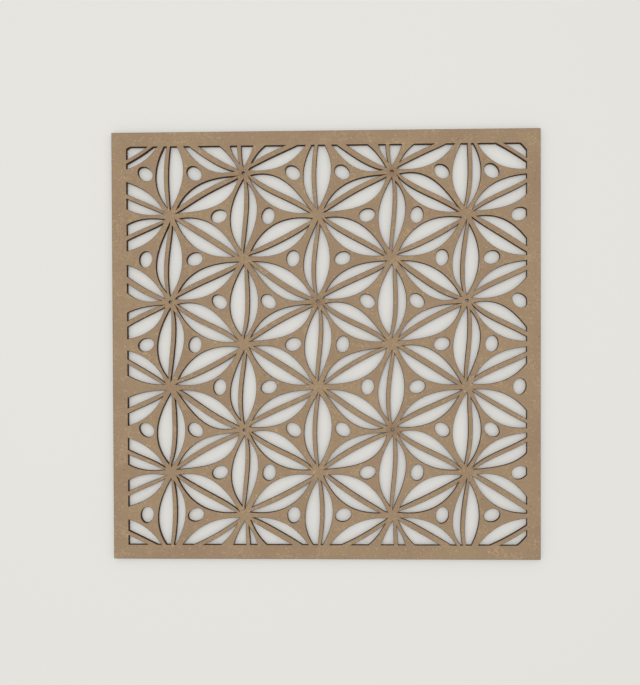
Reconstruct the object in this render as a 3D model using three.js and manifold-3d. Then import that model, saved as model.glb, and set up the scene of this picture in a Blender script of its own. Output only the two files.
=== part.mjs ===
// A square decorative panel of 3 mm MDF, cut right through with a lattice of six-petal flowers.
//
// Millimetres. The panel stands upright: X runs to the right, Z up, and the front faces -Y.
// The back face is the plane Y = 0. The origin is on it, in the middle of the upper border.
//
// The lattice is a triangular one. A hub of solid wood stands at each of its points, and along
// each line between two neighbouring hubs lies one petal: a pair of openings with a rib between.
// One hub in three is a flower's heart, with a pin hole in it. Every triangle of hubs has one
// heart, and an egg-shaped opening in its middle.

import * as THREE from "three";
import { mergeVertices } from "three/addons/utils/BufferGeometryUtils.js";
import Module from "manifold-3d";

const wasm = await Module();
wasm.setup();

// The sheet
const panelSide = 300;
const sheetThickness = 3;
const borderWidth = 10;

// How far the window sits to the right of the panel's middle
const windowRight = 0.5;

// The lattice, with one heart placed from the middle of the panel
const hubSpacing = 60;
const heartRight = -5;
const heartUp = 31;

// Petals: the outer edges of a pair of openings meet, if carried on, this far apart
const petalLength = 52;

// How much of its width a rib has lost where the outer edges meet
const ribTaper = 0.6;

// Egg-shaped openings: length, width, how much blunter one end is, and the turn of the long
// axis from the line that joins the egg to its heart
const eggLength = 11.5;
const eggWidth = 9;
const eggBluntness = 0.05;
const eggTurn = THREE.MathUtils.degToRad(-40);

// An egg whose middle is nearer to a side border than its own length stands this much further out
const borderEggShift = 2;

const pinHoleDiameter = 2;

// Facets: straight steps along an outer edge, along a rib, and round an egg and a pin hole
const outerSteps = 6;
const ribSteps = 4;
const eggSides = 10;
const pinHoleSides = 6;

// How often the search for the tip of an opening halves its range
const tipSearch = 30;

// How far a cut runs past both faces, and how far the window that trims the cuts does
const cutOvershoot = 1;
const windowOvershoot = 2 * cutOvershoot;

// How near two points are that count as one
const weldDistance = 1e-4;

// A petal is seen from the hub where it starts, looking along it. Its rib swings off the
// straight line: bow is to the left in the middle, sway an S that goes left in the second half,
// slant a turn of the whole rib. Each side has a reach, from the line to the outer edge, and a
// lean, which moves the fullest place along the petal as a share of half its length.
function petal(rib, bow, sway, slant, left, right) {
  return { rib, bow, sway, slant, left, right };
}

function side(reach, lean) {
  return { reach, lean };
}

// The six petals of a flower, by the direction in degrees that they take from the heart
const heartPetals = {
  30: petal(3.5, 0.5, -0.5, -1.5, side(9, -0.1), side(9.5, 0)),
  90: petal(3, 2.5, -0.5, -1, side(10, -0.2), side(8.5, 0)),
  150: petal(4, 2, -0.5, -0.5, side(10, -0.2), side(8.5, 0)),
  210: petal(3.5, -2, 0, -0.5, side(10, -0.2), side(9, 0.1)),
  270: petal(3, 1.5, -0.5, -1, side(9.5, -0.2), side(9.5, 0.1)),
  330: petal(3.5, -0.5, 1, -0.5, side(9.5, -0.2), side(9.5, 0)),
};

// The petals between two plain hubs, by the direction that they take, always to the right or down
const plainPetals = {
  30: petal(3.5, -1.5, 0, -1.5, side(10, 0), side(10, 0)),
  270: petal(3, 2.5, 0.5, -1.5, side(10, 0), side(10, 0.1)),
  330: petal(4, 0.5, 0, -1, side(10, -0.1), side(10, 0)),
};

// Petals that are drawn otherwise, each with its places: column and row count hubs from the
// placed heart, to the right and down, and name the hub where the petal starts, and then its
// direction
const otherPetals = [
  [
    petal(3, -2.5, 0, -0.5, side(9.5, -0.1), side(10, 0.1)),
    "-2 -2 270", "0 -2 270", "0 1 270", "-2 3 90", "0 3 90",
  ],
  [petal(3, -2.5, 0, -1, side(8, 0), side(10, 0)), "-2 3 30", "0 3 30", "2 3 30"],
  [petal(4, -0.5, 0, 0, side(11, 0), side(9, 0)), "0 3 150", "2 3 150"],
  [petal(3, -2.5, 1, 0, side(7, 0.1), side(10.5, 0)), "-3 -2 330", "-3 1 330"],
  [petal(3, 2, -0.5, -1, side(10.5, 0), side(7.5, 0.2)), "-3 -1 30", "-3 2 30"],
  [petal(3, 0, -1, 0, side(10, -0.2), side(9, 0.1)), "3 -2 210", "3 1 210"],
  [petal(3.5, -0.5, 0.5, -0.5, side(9.5, -0.1), side(10, 0)), "0 -1 330", "-2 2 330"],
  [petal(3, 2, 0, 0, side(9, -0.2), side(10, 0.1)), "0 1 30"],
  [petal(3, 0.5, 0, 0, side(9, 0.1), side(8, 0)), "-3 0 330"],
  [petal(3, 0.5, 0, 0, side(11, 0), side(9, 0)), "3 1 150"],
  [petal(2.5, -2, 0, 0, side(11, 0), side(10, 0)), "3 -2 150"],
  [petal(3, 0, 0, 2, side(10, -0.2), side(9, 0)), "-2 3 150"],
  [petal(2.5, -3.5, 0, 0, side(4.5, 0), side(9, 0)), "-3 -2 30"],
  [heartPetals[30], "2 1 30"],
  [plainPetals[30], "0 2 330"],
];

function isHeart(column, row) {
  const odd = Math.abs(column % 2);
  return (((row - odd) % 3) + 3) % 3 === 0;
}

// A hub's place from the middle of the panel, X to the right and Y up
function hubPlace(column, row) {
  const odd = Math.abs(column % 2);
  const x = heartRight + column * hubSpacing * Math.sin(Math.PI / 3);
  const y = heartUp - (row + odd / 2) * hubSpacing;
  return new THREE.Vector2(x, y);
}

// The hub that a petal reaches, one step from column and row in a direction
function nextHub(column, row, direction) {
  const odd = Math.abs(column % 2);
  const steps = {
    30: [1, odd - 1],
    90: [0, -1],
    150: [-1, odd - 1],
    210: [-1, odd],
    270: [0, 1],
    330: [1, odd],
  };
  const [across, down] = steps[direction];
  return [column + across, row + down];
}

// Offsets to the left of a petal's line, at a share along it that runs from -1 to 1. The S of a
// rib is a cubic, divided by the height that it rises to, and a rib gets thinner towards the hubs.
const cubicHeight = 2 / Math.sqrt(27);

function ribMiddle(form, along) {
  const hump = 1 - along ** 2;
  const letterS = (along * hump) / cubicHeight;
  return form.bow * hump + form.sway * letterS + form.slant * along;
}

function ribWidth(form, along) {
  return form.rib * (1 - ribTaper * along ** 4);
}

function outerEdge(edge, along) {
  const leaned = along - edge.lean * (1 - along ** 2);
  return edge.reach * (1 - leaned ** 2);
}

// Where the opening between a rib and an outer edge closes, going from the middle to an end
function tip(openAt, end) {
  let open = 0;
  let shut = end;
  for (let i = 0; i < tipSearch; i += 1) {
    const half = (open + shut) / 2;
    if (openAt(half) > 0) {
      open = half;
    } else {
      shut = half;
    }
  }
  return open;
}

// The outline of one opening of a petal, as points along the petal and to its left. The left
// opening has sign 1, the right one sign -1.
function openingOutline(form, edge, sign) {
  const outer = (along) => sign * outerEdge(edge, along);
  const rib = (along) => ribMiddle(form, along) + (sign * ribWidth(form, along)) / 2;
  const openAt = (along) => sign * (outer(along) - rib(along));
  const first = tip(openAt, -1);
  const last = tip(openAt, 1);
  const points = [];
  for (let i = 0; i <= outerSteps; i += 1) {
    const along = first + ((last - first) * i) / outerSteps;
    points.push(new THREE.Vector2((along * petalLength) / 2, outer(along)));
  }
  for (let i = ribSteps - 1; i > 0; i -= 1) {
    const along = first + ((last - first) * i) / ribSteps;
    points.push(new THREE.Vector2((along * petalLength) / 2, rib(along)));
  }
  return sign > 0 ? points.reverse() : points;
}

function placed(points, middle, turn) {
  const origin = new THREE.Vector2(0, 0);
  return points.map((p) => p.clone().rotateAround(origin, turn).add(middle));
}

function eggOutline() {
  const points = [];
  for (let i = 0; i < eggSides; i += 1) {
    const angle = (2 * Math.PI * i) / eggSides;
    const swell = 1 + eggBluntness * Math.cos(angle);
    points.push(
      new THREE.Vector2((eggLength / 2) * Math.cos(angle), (eggWidth / 2) * Math.sin(angle) * swell),
    );
  }
  return points;
}

function pinHoleOutline() {
  const points = [];
  for (let i = 0; i < pinHoleSides; i += 1) {
    const angle = (2 * Math.PI * i) / pinHoleSides;
    points.push(new THREE.Vector2(Math.cos(angle), Math.sin(angle)).multiplyScalar(pinHoleDiameter / 2));
  }
  return points;
}

const windowHalf = panelSide / 2 - borderWidth;
const windowBox = new THREE.Box2(
  new THREE.Vector2(windowRight - windowHalf, -windowHalf),
  new THREE.Vector2(windowRight + windowHalf, windowHalf),
);

// Whether any of an outline lies in the window, which the border frames
function showsInWindow(points) {
  return new THREE.Box2().setFromPoints(points).intersectsBox(windowBox);
}

function formOf(column, row, direction, fromHeart) {
  const other = otherPetals.find((entry) => entry.includes(`${column} ${row} ${direction}`));
  if (other) {
    return other[0];
  }
  return fromHeart ? heartPetals[direction] : plainPetals[direction];
}

// The outlines of the openings of every petal that starts at a hub
function petalsFrom(column, row) {
  const outlines = [];
  const heart = isHeart(column, row);
  const directions = heart ? Object.keys(heartPetals) : Object.keys(plainPetals);
  for (const name of directions) {
    const direction = Number(name);
    const [nextColumn, nextRow] = nextHub(column, row, direction);
    if (!heart && isHeart(nextColumn, nextRow)) {
      continue;
    }
    const start = hubPlace(column, row);
    const end = hubPlace(nextColumn, nextRow);
    const middle = start.clone().lerp(end, 0.5);
    const turn = Math.atan2(end.y - start.y, end.x - start.x);
    const form = formOf(column, row, direction, heart);
    outlines.push(placed(openingOutline(form, form.left, 1), middle, turn));
    outlines.push(placed(openingOutline(form, form.right, -1), middle, turn));
  }
  return outlines;
}

// The six eggs round a heart, and its pin hole. An egg whose middle would lie in the border is
// left out.
function holesRound(column, row) {
  const heart = hubPlace(column, row);
  const outlines = [placed(pinHoleOutline(), heart, 0)];
  const toEgg = hubSpacing / Math.sqrt(3);
  for (let i = 0; i < 6; i += 1) {
    const round = (i * Math.PI) / 3;
    const middle = new THREE.Vector2(Math.cos(round), Math.sin(round)).multiplyScalar(toEgg).add(heart);
    if (Math.abs(middle.x - windowRight) > windowHalf - eggLength) {
      middle.x += Math.sign(middle.x) * borderEggShift;
    }
    if (windowBox.containsPoint(middle)) {
      outlines.push(placed(eggOutline(), middle, round + eggTurn));
    }
  }
  return outlines;
}

function allOutlines() {
  const outlines = [];
  const reach = Math.ceil(panelSide / hubSpacing);
  for (let column = -reach; column <= reach; column += 1) {
    for (let row = -reach; row <= reach; row += 1) {
      outlines.push(...petalsFrom(column, row));
      if (isHeart(column, row)) {
        outlines.push(...holesRound(column, row));
      }
    }
  }
  return outlines.filter(showsInWindow);
}

function solidOf(geometry) {
  const bare = geometry.clone();
  bare.deleteAttribute("normal");
  bare.deleteAttribute("uv");
  const merged = mergeVertices(bare, weldDistance);
  return new wasm.Manifold(
    new wasm.Mesh({
      numProp: 3,
      vertProperties: new Float32Array(merged.attributes.position.array),
      triVerts: new Uint32Array(merged.index.array),
    }),
  );
}

function geometryOf(solid) {
  const mesh = solid.getMesh();
  const geometry = new THREE.BufferGeometry();
  geometry.setAttribute("position", new THREE.BufferAttribute(mesh.vertProperties, 3));
  geometry.setIndex(new THREE.BufferAttribute(mesh.triVerts, 1));
  return geometry;
}

function boxSolid(width, height, depth) {
  const box = new THREE.BoxGeometry(width, height, depth);
  box.translate(0, 0, depth / 2);
  return solidOf(box);
}

// A prism through the whole sheet, past both faces
function cutterOf(outline) {
  const prism = new THREE.ExtrudeGeometry(new THREE.Shape(outline), {
    depth: sheetThickness + 2 * cutOvershoot,
    bevelEnabled: false,
  });
  prism.translate(0, 0, -cutOvershoot);
  return solidOf(prism);
}

// Drawn flat, with the back face down on the drawing plane
function fretwork() {
  const windowSide = 2 * windowHalf;
  const tall = boxSolid(windowSide, windowSide, sheetThickness + 2 * windowOvershoot);
  const window = tall.translate([windowRight, 0, -windowOvershoot]);
  let sheet = boxSolid(panelSide, panelSide, sheetThickness);
  for (const outline of allOutlines()) {
    sheet = sheet.subtract(cutterOf(outline).intersect(window));
  }
  return geometryOf(sheet);
}

const mdf = new THREE.MeshStandardMaterial({ color: 0xa08769, roughness: 0.75, metalness: 0 });

const panel = new THREE.Mesh(fretwork(), mdf);
panel.name = "fretwork_panel";
panel.rotation.x = Math.PI / 2;
panel.position.set(0, 0, borderWidth / 2 - panelSide / 2);

const part = new THREE.Group();
part.add(panel);

export default part;
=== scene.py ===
# %% [markdown]
# This lesson dresses a square decorative panel: one sheet of 3 mm MDF, cut right through by a
# laser with a lattice of six-petal flowers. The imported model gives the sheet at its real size,
# with its curves in short straight steps. Here the same outlines are drawn smooth, cut out of a
# blank as the laser does it, and given the two surfaces of the real thing: the pale, matt,
# fibrous face of raw MDF, and the charred walls that the laser leaves.

# %% Load the frame
import math

import bpy
from mathutils import Matrix, Vector


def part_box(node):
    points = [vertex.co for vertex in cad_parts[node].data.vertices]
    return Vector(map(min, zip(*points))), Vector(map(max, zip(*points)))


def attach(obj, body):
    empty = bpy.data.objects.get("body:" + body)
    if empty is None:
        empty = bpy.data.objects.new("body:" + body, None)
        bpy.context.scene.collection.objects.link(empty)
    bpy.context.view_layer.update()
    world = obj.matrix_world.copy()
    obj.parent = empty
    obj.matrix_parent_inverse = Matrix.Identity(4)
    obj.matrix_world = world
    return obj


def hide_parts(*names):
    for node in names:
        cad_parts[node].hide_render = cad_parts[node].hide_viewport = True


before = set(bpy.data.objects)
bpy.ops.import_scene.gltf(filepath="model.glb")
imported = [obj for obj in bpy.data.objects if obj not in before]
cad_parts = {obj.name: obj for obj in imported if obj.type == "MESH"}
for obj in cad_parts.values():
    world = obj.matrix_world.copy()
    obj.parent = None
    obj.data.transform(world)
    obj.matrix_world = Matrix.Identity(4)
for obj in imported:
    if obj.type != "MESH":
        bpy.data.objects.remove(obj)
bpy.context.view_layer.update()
sheet_low, sheet_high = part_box("fretwork_panel")
print("sheet from", tuple(sheet_low), "to", tuple(sheet_high))

# %% [markdown]
# Everything is placed from the sheet's own box. The panel stands upright with its front to -Y,
# so its pattern is drawn in X and Z, in millimetres from the middle of the panel, and a single
# function turns such a point into a place in the scene.

# %% Sizes
MM = 0.001
PANEL_SIDE = (sheet_high.x - sheet_low.x) / MM
SHEET_THICKNESS = (sheet_high.y - sheet_low.y) / MM
BORDER_WIDTH = 10
WINDOW_HALF = PANEL_SIDE / 2 - BORDER_WIDTH
WINDOW_RIGHT = 0.5  # how far the window's middle lies to the right of the panel's
PANEL_MIDDLE = (sheet_low + sheet_high) / 2


def in_scene(x, z):
    return Vector((PANEL_MIDDLE.x + x * MM, PANEL_MIDDLE.y, PANEL_MIDDLE.z + z * MM))


print(f"panel {PANEL_SIDE:.1f} mm square, {SHEET_THICKNESS:.1f} mm thick")

# %% [markdown]
# The lattice is triangular. Solid hubs stand at its points, and one hub in three is the heart of
# a flower. Rows are counted down from a heart near the middle of the panel, columns to the right,
# and a direction is in degrees from the right, anticlockwise.

# %% The lattice
HUB_SPACING = 60
HEART_RIGHT = -5
HEART_UP = 31


def hub_place(column, row):
    x = HEART_RIGHT + column * HUB_SPACING * math.sin(math.pi / 3)
    z = HEART_UP - (row + column % 2 / 2) * HUB_SPACING
    return Vector((x, z))


def is_heart(column, row):
    return (row - column % 2) % 3 == 0


def next_hub(column, row, direction):
    odd = column % 2
    across, down = {
        30: (1, odd - 1),
        90: (0, -1),
        150: (-1, odd - 1),
        210: (-1, odd),
        270: (0, 1),
        330: (1, odd),
    }[direction]
    return column + across, row + down


print("a heart stands at", tuple(hub_place(0, 0)), "mm from the middle")

# %% [markdown]
# A petal lies on the line between two hubs. It is a pair of openings with a thin rib between
# them. The rib bows, sways and slants off the line, as if drawn by hand, and gets thinner towards
# the hubs. Each outer edge is an arc, given as how far it reaches out from the line and how much
# it leans towards one end. Six petals leave a heart, each with its own form, and three forms join
# the plain hubs. Left and right are as seen from the hub where the petal starts, and their signs,
# 1 and -1, name the two sides of a form.

# %% Petal forms
PETAL_LENGTH = 52
RIB_TAPER = 0.6


def petal(rib, bow, sway, slant, left, right):
    return {"rib": rib, "bow": bow, "sway": sway, "slant": slant, 1: left, -1: right}


HEART_PETALS = {
    30: petal(3.5, 0.5, -0.5, -1.5, (9, -0.1), (9.5, 0)),
    90: petal(3, 2.5, -0.5, -1, (10, -0.2), (8.5, 0)),
    150: petal(4, 2, -0.5, -0.5, (10, -0.2), (8.5, 0)),
    210: petal(3.5, -2, 0, -0.5, (10, -0.2), (9, 0.1)),
    270: petal(3, 1.5, -0.5, -1, (9.5, -0.2), (9.5, 0.1)),
    330: petal(3.5, -0.5, 1, -0.5, (9.5, -0.2), (9.5, 0)),
}

PLAIN_PETALS = {
    30: petal(3.5, -1.5, 0, -1.5, (10, 0), (10, 0)),
    270: petal(3, 2.5, 0.5, -1.5, (10, 0), (10, 0.1)),
    330: petal(4, 0.5, 0, -1, (10, -0.1), (10, 0)),
}

print(len(HEART_PETALS), "forms leave a heart,", len(PLAIN_PETALS), "join plain hubs")

# %% [markdown]
# Some petals break the rule, most of them near the border. Each form is listed with its petals,
# as the column and row of the hub where a petal starts and its direction. The last two petals
# borrow a form from above.

# %% Petals that are drawn otherwise
OTHER_PETALS = [
    (
        [(-2, -2, 270), (0, -2, 270), (0, 1, 270), (-2, 3, 90), (0, 3, 90)],
        petal(3, -2.5, 0, -0.5, (9.5, -0.1), (10, 0.1)),
    ),
    ([(-2, 3, 30), (0, 3, 30), (2, 3, 30)], petal(3, -2.5, 0, -1, (8, 0), (10, 0))),
    ([(0, 3, 150), (2, 3, 150)], petal(4, -0.5, 0, 0, (11, 0), (9, 0))),
    ([(-3, -2, 330), (-3, 1, 330)], petal(3, -2.5, 1, 0, (7, 0.1), (10.5, 0))),
    ([(-3, -1, 30), (-3, 2, 30)], petal(3, 2, -0.5, -1, (10.5, 0), (7.5, 0.2))),
    ([(3, -2, 210), (3, 1, 210)], petal(3, 0, -1, 0, (10, -0.2), (9, 0.1))),
    ([(0, -1, 330), (-2, 2, 330)], petal(3.5, -0.5, 0.5, -0.5, (9.5, -0.1), (10, 0))),
    ([(0, 1, 30)], petal(3, 2, 0, 0, (9, -0.2), (10, 0.1))),
    ([(-3, 0, 330)], petal(3, 0.5, 0, 0, (9, 0.1), (8, 0))),
    ([(3, 1, 150)], petal(3, 0.5, 0, 0, (11, 0), (9, 0))),
    ([(3, -2, 150)], petal(2.5, -2, 0, 0, (11, 0), (10, 0))),
    ([(-2, 3, 150)], petal(3, 0, 0, 2, (10, -0.2), (9, 0))),
    ([(-3, -2, 30)], petal(2.5, -3.5, 0, 0, (4.5, 0), (9, 0))),
    ([(2, 1, 30)], HEART_PETALS[30]),
    ([(0, 2, 330)], PLAIN_PETALS[30]),
]


def form_of(column, row, direction):
    for places, form in OTHER_PETALS:
        if (column, row, direction) in places:
            return form
    return (HEART_PETALS if is_heart(column, row) else PLAIN_PETALS)[direction]


print(sum(len(places) for places, _ in OTHER_PETALS), "petals break the rule")

# %% [markdown]
# An outline is worked out as offsets to the left of the petal's line, at a share along it that
# runs from -1 to 1. The opening lasts as long as its outer edge lies outside the rib, so a
# search by halves finds the two tips, and the steps between them are fine enough to look smooth.

# %% Outline of one opening of a petal
OUTER_STEPS = 30
RIB_STEPS = 24
TIP_SEARCH = 30
S_HEIGHT = 2 / math.sqrt(27)  # how high the curve along * (1 - along**2) rises


def rib_edge(form, sign, along):
    hump = 1 - along**2
    s_curve = along * hump / S_HEIGHT
    middle = form["bow"] * hump + form["sway"] * s_curve + form["slant"] * along
    return middle + sign * form["rib"] / 2 * (1 - RIB_TAPER * along**4)


def outer_edge(form, sign, along):
    reach, lean = form[sign]
    leaned = along - lean * (1 - along**2)
    return sign * reach * (1 - leaned**2)


def tip(form, sign, end):
    open_at, shut_at = 0, end
    for _ in range(TIP_SEARCH):
        half = (open_at + shut_at) / 2
        if sign * (outer_edge(form, sign, half) - rib_edge(form, sign, half)) > 0:
            open_at = half
        else:
            shut_at = half
    return open_at


def opening_outline(form, sign):
    first, last = tip(form, sign, -1), tip(form, sign, 1)
    points = []
    for step in range(OUTER_STEPS + 1):
        along = first + (last - first) * step / OUTER_STEPS
        points.append((along * PETAL_LENGTH / 2, outer_edge(form, sign, along)))
    for step in range(RIB_STEPS - 1, 0, -1):
        along = first + (last - first) * step / RIB_STEPS
        points.append((along * PETAL_LENGTH / 2, rib_edge(form, sign, along)))
    return points


print(len(opening_outline(HEART_PETALS[30], 1)), "points go round one opening")

# %% [markdown]
# The small openings are eggs, one in each triangle of hubs, and a pin hole in each heart. An egg
# is an ellipse whose far end is a little blunter. One that would come close to the border stands
# further out, across the window's edge.

# %% Outlines of an egg and a pin hole
EGG_LENGTH = 11.5
EGG_WIDTH = 9
EGG_BLUNTNESS = 0.05
EGG_TURN = math.radians(-40)
EGG_POINTS = 48
BORDER_EGG_SHIFT = 2
PIN_HOLE_DIAMETER = 2
PIN_HOLE_POINTS = 20


def egg_outline(length, width, bluntness, count):
    points = []
    for step in range(count):
        angle = 2 * math.pi * step / count
        swell = 1 + bluntness * math.cos(angle)
        points.append((length / 2 * math.cos(angle), width / 2 * math.sin(angle) * swell))
    return points


print(len(egg_outline(EGG_LENGTH, EGG_WIDTH, EGG_BLUNTNESS, EGG_POINTS)), "points go round an egg")

# %% [markdown]
# Each opening starts as a filled circle with as many points as its outline, and the points are
# then pulled onto the outline. A shape that repeats is drawn once, and each copy gets a mesh of
# its own, turned and moved to its place in the lattice. All copies are joined into one flat
# drawing, just as the file for the laser holds them.

# %% Draw the openings
drawn = {}


def flat_opening(key, points):
    if key not in drawn:
        bpy.ops.object.select_all(action="DESELECT")
        bpy.ops.mesh.primitive_circle_add(vertices=len(points), radius=MM, fill_type="NGON")
        circle = bpy.context.object
        for vertex, (x, z) in zip(circle.data.vertices, points):
            vertex.co = (x * MM, 0, z * MM)
        drawn[key] = circle
    return drawn[key]


def place_copy(template, middle, turn):
    copy = template.copy()
    copy.data = template.data.copy()
    bpy.context.scene.collection.objects.link(copy)
    at = Matrix.Translation(in_scene(*middle))
    copy.data.transform(at @ Matrix.Rotation(-turn, 4, "Y"))
    return copy


def draw_petals(column, row):
    copies = []
    forms = HEART_PETALS if is_heart(column, row) else PLAIN_PETALS
    for direction in forms:
        end = next_hub(column, row, direction)
        if is_heart(*end):
            continue
        form = form_of(column, row, direction)
        line = hub_place(*end) - hub_place(column, row)
        middle = (hub_place(*end) + hub_place(column, row)) / 2
        turn = math.atan2(line.y, line.x)
        for sign in (1, -1):
            template = flat_opening(("petal", id(form), sign), opening_outline(form, sign))
            copies.append(place_copy(template, middle, turn))
    return copies


def draw_round_heart(column, row):
    heart = hub_place(column, row)
    pin = egg_outline(PIN_HOLE_DIAMETER, PIN_HOLE_DIAMETER, 0, PIN_HOLE_POINTS)
    copies = [place_copy(flat_opening("pin hole", pin), heart, 0)]
    egg = egg_outline(EGG_LENGTH, EGG_WIDTH, EGG_BLUNTNESS, EGG_POINTS)
    to_egg = HUB_SPACING / math.sqrt(3)
    for sixth in range(6):
        angle = sixth * math.pi / 3
        middle = heart + to_egg * Vector((math.cos(angle), math.sin(angle)))
        if abs(middle.x - WINDOW_RIGHT) > WINDOW_HALF - EGG_LENGTH:
            middle.x += math.copysign(BORDER_EGG_SHIFT, middle.x)
        if max(abs(middle.x - WINDOW_RIGHT), abs(middle.y)) < WINDOW_HALF:
            copies.append(place_copy(flat_opening("egg", egg), middle, angle + EGG_TURN))
    return copies


REACH = math.ceil(PANEL_SIDE / HUB_SPACING)
openings = []
for column in range(-REACH, REACH + 1):
    for row in range(-REACH, REACH + 1):
        openings += draw_petals(column, row)
        if is_heart(column, row):
            openings += draw_round_heart(column, row)

for template in drawn.values():
    bpy.data.objects.remove(template)
bpy.ops.object.select_all(action="DESELECT")
for opening in openings:
    opening.select_set(True)
bpy.context.view_layer.objects.active = openings[0]
print(len(openings), "openings drawn")
bpy.ops.object.join()
cutter = bpy.context.object
cutter.name = "laser_path"

# %% [markdown]
# The border frames a square window, and whatever runs past the window is cut off straight. Four
# bisections do that on the flat drawing, each clearing what lies outside.

# %% Trim the drawing to the window
bpy.ops.object.mode_set(mode="EDIT")
for side in (Vector((1, 0, 0)), Vector((-1, 0, 0)), Vector((0, 0, 1)), Vector((0, 0, -1))):
    bpy.ops.mesh.select_all(action="SELECT")
    edge_place = in_scene(WINDOW_RIGHT, 0) + side * WINDOW_HALF * MM
    bpy.ops.mesh.bisect(plane_co=edge_place, plane_no=side, clear_outer=True)
print(f"the drawing ends at a window {2 * WINDOW_HALF:.1f} mm wide")

# %% [markdown]
# Pulled through the sheet, the drawing becomes the solid that the laser takes away. The beam also
# burns the rim of each cut a little, on both faces, so the solid gets a fifth of a millimetre
# wider there. It is the same on both sides of the sheet's middle, so only the front half is made.
# Only the outlines are pulled, so that they become open tubes: the points of a tube's end face
# straight outwards, and the shrink-fatten operator can push them that way.

# %% Pull the outlines through the sheet
BURNT_RIM = 0.2
OVERSHOOT = 1.0


def pull_forward(distance):
    bpy.ops.mesh.extrude_edges_move(TRANSFORM_OT_translate={"value": (0, -distance * MM, 0)})


bpy.context.tool_settings.mesh_select_mode = (False, True, False)
bpy.ops.mesh.select_all(action="SELECT")
bpy.ops.transform.translate(value=(0, -PANEL_MIDDLE.y, 0))
bpy.ops.mesh.delete(type="ONLY_FACE")
bpy.ops.mesh.select_all(action="SELECT")
pull_forward(SHEET_THICKNESS / 2 - BURNT_RIM)
bpy.ops.mesh.select_all(action="SELECT")
bpy.ops.mesh.normals_make_consistent(inside=False)
bpy.ops.mesh.select_all(action="DESELECT")
bpy.ops.object.mode_set(mode="OBJECT")
path_points = cutter.data.vertices
for edge in cutter.data.edges:
    edge.select = all(path_points[i].co.y < -BURNT_RIM * MM for i in edge.vertices)
bpy.ops.object.mode_set(mode="EDIT")
pull_forward(BURNT_RIM)
bpy.ops.transform.shrink_fatten(value=BURNT_RIM * MM, use_even_offset=True)
pull_forward(OVERSHOOT)
bpy.ops.object.mode_set(mode="OBJECT")
print(f"the tubes end {OVERSHOOT} mm in front of the sheet")

# %% [markdown]
# A Mirror modifier adds the back half and welds the two where they meet, and the ends are filled.
# Each opening is then a closed solid, as the Boolean that follows needs it.

# %% Add the other half and close the ends
WELD_DISTANCE = 0.01
mirror = cutter.modifiers.new("other half", "MIRROR")
mirror.use_axis = (False, True, False)
mirror.merge_threshold = WELD_DISTANCE * MM
bpy.ops.object.modifier_apply(modifier=mirror.name)
bpy.ops.object.mode_set(mode="EDIT")
bpy.ops.mesh.select_all(action="SELECT")
bpy.ops.mesh.fill_holes(sides=0)
bpy.ops.mesh.select_all(action="SELECT")
bpy.ops.mesh.normals_make_consistent(inside=False)
bpy.ops.transform.translate(value=(0, PANEL_MIDDLE.y, 0))
bpy.ops.object.mode_set(mode="OBJECT")
print(len(cutter.data.polygons), "faces in the laser's path")

# %% [markdown]
# The blank is a plain sheet, cut from its board by the same laser, so its own rims get the burnt
# bevel too: the eight edges round its front and its back, not the four short ones at its corners.

# %% Make the blank
bpy.ops.object.select_all(action="DESELECT")
bpy.ops.mesh.primitive_cube_add(size=1, location=(0, 0, 0))
panel = bpy.context.object
panel.name = "mdf_fretwork"
panel.data.transform(Matrix.Diagonal((*(sheet_high - sheet_low), 1)))
panel.data.transform(Matrix.Translation(PANEL_MIDDLE))
corners = panel.data.vertices
for polygon in panel.data.polygons:
    polygon.select = False
for corner in corners:
    corner.select = False
for edge in panel.data.edges:
    first, second = (corners[i].co.y for i in edge.vertices)
    edge.select = abs(first - second) < BURNT_RIM * MM
bpy.ops.object.mode_set(mode="EDIT")
bpy.context.tool_settings.mesh_select_mode = (False, True, False)
bpy.ops.mesh.bevel(offset=BURNT_RIM * MM, segments=1, affect="EDGES")
bpy.ops.object.mode_set(mode="OBJECT")
print(len(panel.data.polygons), "faces on the blank")

# %% [markdown]
# A Boolean modifier takes the laser's path out of the blank. The walls are then smoothed by
# angle, so that the curves look round while the tips and the burnt rims stay crisp.

# %% Cut the sheet
SMOOTH_ANGLE = math.radians(35)
cut = panel.modifiers.new("laser cut", "BOOLEAN")
cut.operation = "DIFFERENCE"
cut.solver = "MANIFOLD"
cut.object = cutter
bpy.ops.object.modifier_apply(modifier=cut.name)
bpy.data.objects.remove(cutter)
bpy.ops.object.shade_smooth_by_angle(angle=SMOOTH_ANGLE)
print(len(panel.data.vertices), "points and", len(panel.data.polygons), "faces after the cut")

# %% [markdown]
# Colours are written as the sRGB hex values that a paint chart would give, and one function
# turns them into the linear values that the shader wants. Another adds a node with its settings
# and its inputs, by name or number. An input can be a value, a socket, or a node, whose first
# output is then used.

# %% Helpers for materials


def linear(hex_colour):
    channels = [int(hex_colour[i : i + 2], 16) / 255 for i in (1, 3, 5)]
    # The sRGB curve has a straight foot and then follows a power
    bent = [c / 12.92 if c <= 0.04045 else ((c + 0.055) / 1.055) ** 2.4 for c in channels]
    return (*bent, 1.0)


def add(material, kind, inputs=None, **settings):
    node = material.node_tree.nodes.new("ShaderNode" + kind)
    for name, value in settings.items():
        setattr(node, name, value)
    for name, value in (inputs or {}).items():
        if isinstance(value, bpy.types.Node):
            value = value.outputs[0]
        if isinstance(value, bpy.types.NodeSocket):
            material.node_tree.links.new(value, node.inputs[name])
        else:
            node.inputs[name].default_value = value
    return node


def new_material(name):
    material = bpy.data.materials.new(name)
    material.use_nodes = True
    material.node_tree.nodes.clear()
    return material


print("the middle grey #808080 is", linear("#808080")[0], "in linear light")

# %% [markdown]
# Raw MDF is wood ground to fibres and pressed hard with resin. Its face is matt, brown like
# cardboard, and felted. Fine fibres catch the light as pale specks and short curls, a few dark
# ones lie between them, and the tone drifts a little over a few centimetres. The specks are
# drawn about a millimetre long, a little coarser than life, so that they still show.
#
# A strand is an edge between two cells, bent by a noise and kept only where a coarser noise, the
# patch, is high.

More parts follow.
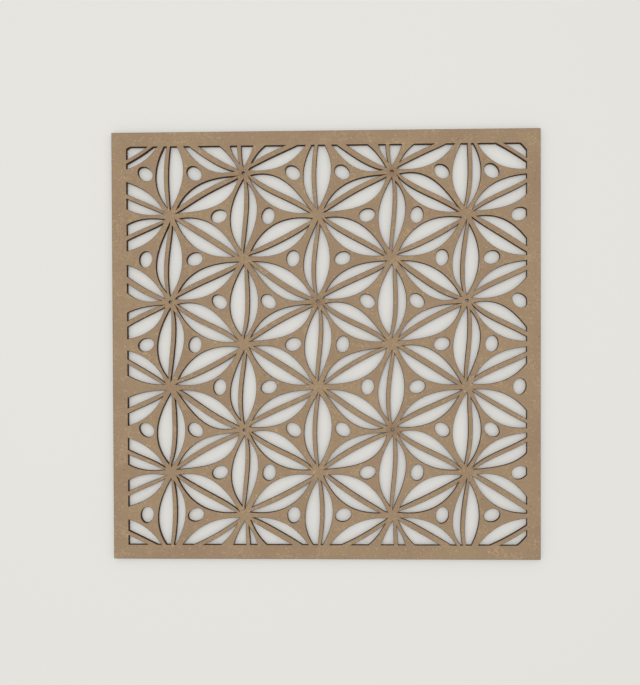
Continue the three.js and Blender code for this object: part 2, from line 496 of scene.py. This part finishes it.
# %% Curled strands of the MDF face
PATCH = 9 * MM
PATCH_STARTS = 0.52
PATCH_IS_FULL = 0.64
CURL = 3.2 * MM
CURL_BEND = 0.9 * CURL
STRAND_WIDTH = 0.09  # as a share of a cell


def curled_strands(face, place):
    wobble = add(face, "TexNoise", {"Vector": place, "Scale": 1 / CURL}).outputs["Color"]
    bends = (CURL_BEND, CURL_BEND, CURL_BEND)
    bent = add(face, "VectorMath", {0: wobble, 1: bends, 2: place}, operation="MULTIPLY_ADD")
    cells = add(
        face, "TexVoronoi", {"Vector": bent, "Scale": 1 / CURL}, feature="DISTANCE_TO_EDGE"
    )
    strand = add(
        face, "MapRange", {"Value": cells, "From Max": STRAND_WIDTH, "To Min": 1, "To Max": 0}
    )
    patchy = add(face, "TexNoise", {"Vector": place, "Scale": 1 / PATCH})
    patch = add(
        face,
        "MapRange",
        {"Value": patchy, "From Min": PATCH_STARTS, "From Max": PATCH_IS_FULL},
    )
    return add(face, "Math", {0: strand, 1: patch}, operation="MULTIPLY")


print(f"strands curl over {CURL / MM:.1f} mm, in patches of {PATCH / MM:.0f} mm")

# %% [markdown]
# The laser scorched the face a little where many cuts meet. A reddish brown halo, broken up by
# a noise, lies round some of the hearts, and a narrow dark ring lies round every pin hole. Both
# follow the distance to the nearest heart, which is the smallest of the distances to them all.

# %% Scorch round the hearts
SCORCH_REACH = 7 * MM
RING_REACH = 1.9 * MM
SCORCHED_HEARTS = [(-1, -2), (1, -2), (0, 0), (1, 1)]
PIERCED_HEARTS = SCORCHED_HEARTS + [(-2, 0), (2, 0), (-1, 1)]


def nearness(face, place, hearts, reach):
    nearest = reach
    for heart in hearts:
        there = in_scene(*hub_place(*heart))
        away = add(face, "VectorMath", {0: place, 1: there}, operation="DISTANCE")
        distance = away.outputs["Value"]
        nearest = add(face, "Math", {0: distance, 1: nearest}, operation="MINIMUM")
    return add(face, "MapRange", {"Value": nearest, "From Max": reach, "To Min": 1, "To Max": 0})


def broken_scorch(face, place):
    halo = nearness(face, place, SCORCHED_HEARTS, SCORCH_REACH)
    smoke = add(face, "TexNoise", {"Vector": place, "Scale": 1 / PATCH, "Detail": 3})
    return add(face, "Math", {0: halo, 1: smoke}, operation="MULTIPLY")


print(len(SCORCHED_HEARTS), "of", len(PIERCED_HEARTS), "hearts are scorched")

# %% [markdown]
# The face is built up in layers over one brown. Each layer is a pattern, the range of it that
# shows, how strongly it does, and its colour, and a loop lays one over the other. The pale and
# the dark specks come from the same noise, read at places far apart, so that they don't coincide.
# The felt also lifts the surface a little, and the face keeps only a faint sheen.

# %% MDF face
CLOUD = 40 * MM
FELT = 1.1 * MM
SPECK = 1.3 * MM
APART = 300 * MM
RELIEF = 0.1 * MM


def mdf_face():
    face = new_material("raw_mdf_face")
    place = add(face, "TexCoord").outputs["Object"]
    cloud = add(face, "TexNoise", {"Vector": place, "Scale": 1 / CLOUD, "Detail": 3})
    felt = add(face, "TexNoise", {"Vector": place, "Scale": 1 / FELT, "Detail": 3})
    specks = []
    for offset in ((APART, 0, 0), (0, 0, APART)):
        moved = add(face, "Mapping", {"Vector": place, "Location": offset})
        specks.append(add(face, "TexNoise", {"Vector": moved, "Scale": 1 / SPECK}))
    layers = [
        (cloud, 0.35, 0.65, 1, "#9c8569"),
        (felt, 0.3, 0.7, 0.5, "#a68d71"),
        (specks[0], 0.63, 0.74, 0.6, "#d2b98f"),
        (curled_strands(face, place), 0, 1, 0.4, "#c9b088"),
        (specks[1], 0.66, 0.76, 0.6, "#5f4a38"),
        (broken_scorch(face, place), 0.05, 0.4, 0.5, "#7d5b42"),
        (nearness(face, place, PIERCED_HEARTS, RING_REACH), 0, 0.5, 0.9, "#3a281b"),
    ]
    colour = linear("#947d64")
    for pattern, low, high, strength, tint in layers:
        share = add(
            face,
            "MapRange",
            {"Value": pattern, "From Min": low, "From Max": high, "To Max": strength},
        )
        colour = add(face, "MixRGB", {"Fac": share, "Color1": colour, "Color2": linear(tint)})
    bump = add(face, "Bump", {"Height": felt, "Strength": 0.2, "Distance": RELIEF})
    finish = {"Roughness": 0.85, "Specular IOR Level": 0.3}
    shader = add(face, "BsdfPrincipled", {"Base Color": colour, "Normal": bump, **finish})
    add(face, "OutputMaterial", {"Surface": shader})
    return face


raw_face = mdf_face()
print(len(raw_face.node_tree.nodes), "nodes in", raw_face.name)

# %% [markdown]
# Where the laser passed, the wall of the cut is charred: dark brown to black, quite matt, with
# fine streaks across the thickness, where the beam pulsed as it moved along.

# %% Charred cut
STREAK = 0.5 * MM
STREAK_STRETCH = 0.15


def charred_cut():
    char = new_material("charred_mdf")
    place = add(char, "TexCoord").outputs["Object"]
    along = add(char, "Mapping", {"Vector": place, "Scale": (1, STREAK_STRETCH, 1)})
    streaks = add(char, "TexNoise", {"Vector": along, "Scale": 1 / STREAK, "Detail": 3})
    share = add(char, "MapRange", {"Value": streaks, "From Min": 0.35, "From Max": 0.65})
    charcoal, toast = linear("#2b1c12"), linear("#4d3524")
    colour = add(char, "MixRGB", {"Fac": share, "Color1": charcoal, "Color2": toast})
    bump = add(char, "Bump", {"Height": streaks, "Strength": 0.3, "Distance": RELIEF})
    finish = {"Roughness": 0.9, "Specular IOR Level": 0.05}
    shader = add(char, "BsdfPrincipled", {"Base Color": colour, "Normal": bump, **finish})
    add(char, "OutputMaterial", {"Surface": shader})
    return char


charred_wall = charred_cut()
print(len(charred_wall.node_tree.nodes), "nodes in", charred_wall.name)

# %% [markdown]
# The front and the back look straight along Y, the burnt rims lean by half a right angle, and the
# walls stand square to Y. So the Y of a polygon's normal tells the raw faces from all that the
# laser burnt.

# %% Give each polygon its material
STRAIGHT_ALONG_Y = 0.9
panel.data.materials.clear()
panel.data.materials.append(raw_face)
panel.data.materials.append(charred_wall)
for polygon in panel.data.polygons:
    polygon.material_index = 0 if abs(polygon.normal.y) > STRAIGHT_ALONG_Y else 1
charred = sum(polygon.material_index for polygon in panel.data.polygons)
print(charred, "of", len(panel.data.polygons), "faces are charred")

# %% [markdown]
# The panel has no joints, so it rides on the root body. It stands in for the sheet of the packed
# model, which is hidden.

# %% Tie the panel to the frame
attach(panel, "root")
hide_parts("fretwork_panel")
print(panel.name, "stands in for the packed sheet")

# %% [markdown]
# The panel lies flat against a pale, plain surface. Seen from behind, that surface would hide
# the panel, so its back is clear, and the light of a lamp passes it.

# %% Pale surface
SURFACE_SIDE = 3.0
SURFACE_GAP = 0.1 * MM


def pale_surface_finish():
    pale = new_material("pale_surface")
    front = add(pale, "BsdfDiffuse", {"Color": linear("#e6e5e2")})
    clear = add(pale, "BsdfTransparent")
    behind = add(pale, "NewGeometry").outputs["Backfacing"]
    shadow = add(pale, "LightPath").outputs["Is Shadow Ray"]
    open_way = add(pale, "Math", {0: behind, 1: shadow}, operation="MAXIMUM")
    both = add(pale, "MixShader", {"Fac": open_way, 1: front, 2: clear})
    add(pale, "OutputMaterial", {"Surface": both})
    return pale


bpy.ops.object.select_all(action="DESELECT")
bpy.ops.mesh.primitive_plane_add(size=SURFACE_SIDE)
surface = bpy.context.object
surface.name = "pale_surface"
surface.data.transform(Matrix.Rotation(math.radians(90), 4, "X"))
surface_middle = Vector((PANEL_MIDDLE.x, sheet_high.y + SURFACE_GAP, PANEL_MIDDLE.z))
surface.data.transform(Matrix.Translation(surface_middle))
surface.data.materials.append(pale_surface_finish())
print("the pale surface is", SURFACE_SIDE, "m wide")

# %% [markdown]
# The light is a soft glow from all round, as in a white room, which leaves the openings a little
# darker than the open surface. A wide lamp in front adds to it. The surface keeps most of the
# glow from the panel's back, so the lamp behind is stronger. It stands straight behind, where it
# hardly reaches the walls of the cuts.

# %% Light
GLOW = 0.72
LAMP_AWAY = 1.6
LAMP_ASIDE = 0.1
LAMP_WIDTH = 1.0
FRONT_LAMP_POWER = 8
BACK_LAMP_POWER = 18

world = bpy.data.worlds.new("soft_room")
bpy.context.scene.world = world
world.use_nodes = True
world.node_tree.nodes["Background"].inputs["Color"].default_value = linear("#fffefb")
world.node_tree.nodes["Background"].inputs["Strength"].default_value = GLOW


def wide_lamp(name, from_middle, power):
    lamp = bpy.data.lights.new(name, "AREA")
    lamp.shape = "DISK"
    lamp.size = LAMP_WIDTH
    lamp.energy = power
    holder = bpy.data.objects.new(name, lamp)
    bpy.context.scene.collection.objects.link(holder)
    holder.location = PANEL_MIDDLE + from_middle
    holder.rotation_euler = (-from_middle).to_track_quat("-Z", "Y").to_euler()


wide_lamp("front_lamp", Vector((-LAMP_ASIDE, -LAMP_AWAY, LAMP_ASIDE)), FRONT_LAMP_POWER)
wide_lamp("back_lamp", Vector((0, LAMP_AWAY, 0)), BACK_LAMP_POWER)
print("two lamps hang", LAMP_AWAY, "m from the panel")

# %% [markdown]
# The camera stands half a metre in front of the panel, a little to the right of its middle and
# below it, and looks at it almost square. Its lens and shift frame the panel as in the
# photograph. The Standard view keeps the colours as they were chosen.

# %% Camera
CAMERA_PLACE = Vector((0.0320, -0.4840, -0.1690))
YAW = math.radians(1.344)
PITCH = math.radians(-0.608)
ROLL = math.radians(0.168)
LENS_MM = 36.13
SHIFT_ACROSS = -0.0508
SHIFT_UP = 0.0650
camera_data = bpy.data.cameras.new("camera")
camera_data.lens = LENS_MM
camera_data.shift_x = SHIFT_ACROSS
camera_data.shift_y = SHIFT_UP
camera = bpy.data.objects.new("camera", camera_data)
bpy.context.scene.collection.objects.link(camera)
# A camera looks straight down at first, and a quarter turn about X faces it to the panel
facing = Matrix.Rotation(math.radians(90), 4, "X")
aimed = Matrix.Rotation(YAW, 4, "Z") @ Matrix.Rotation(PITCH, 4, "X")
aimed = aimed @ Matrix.Rotation(ROLL, 4, "Y")
camera.matrix_world = Matrix.Translation(CAMERA_PLACE) @ aimed @ facing
bpy.context.scene.camera = camera
bpy.context.scene.view_settings.view_transform = "Standard"
print(f"the camera is {(CAMERA_PLACE - PANEL_MIDDLE).length:.3f} m from the panel's middle")
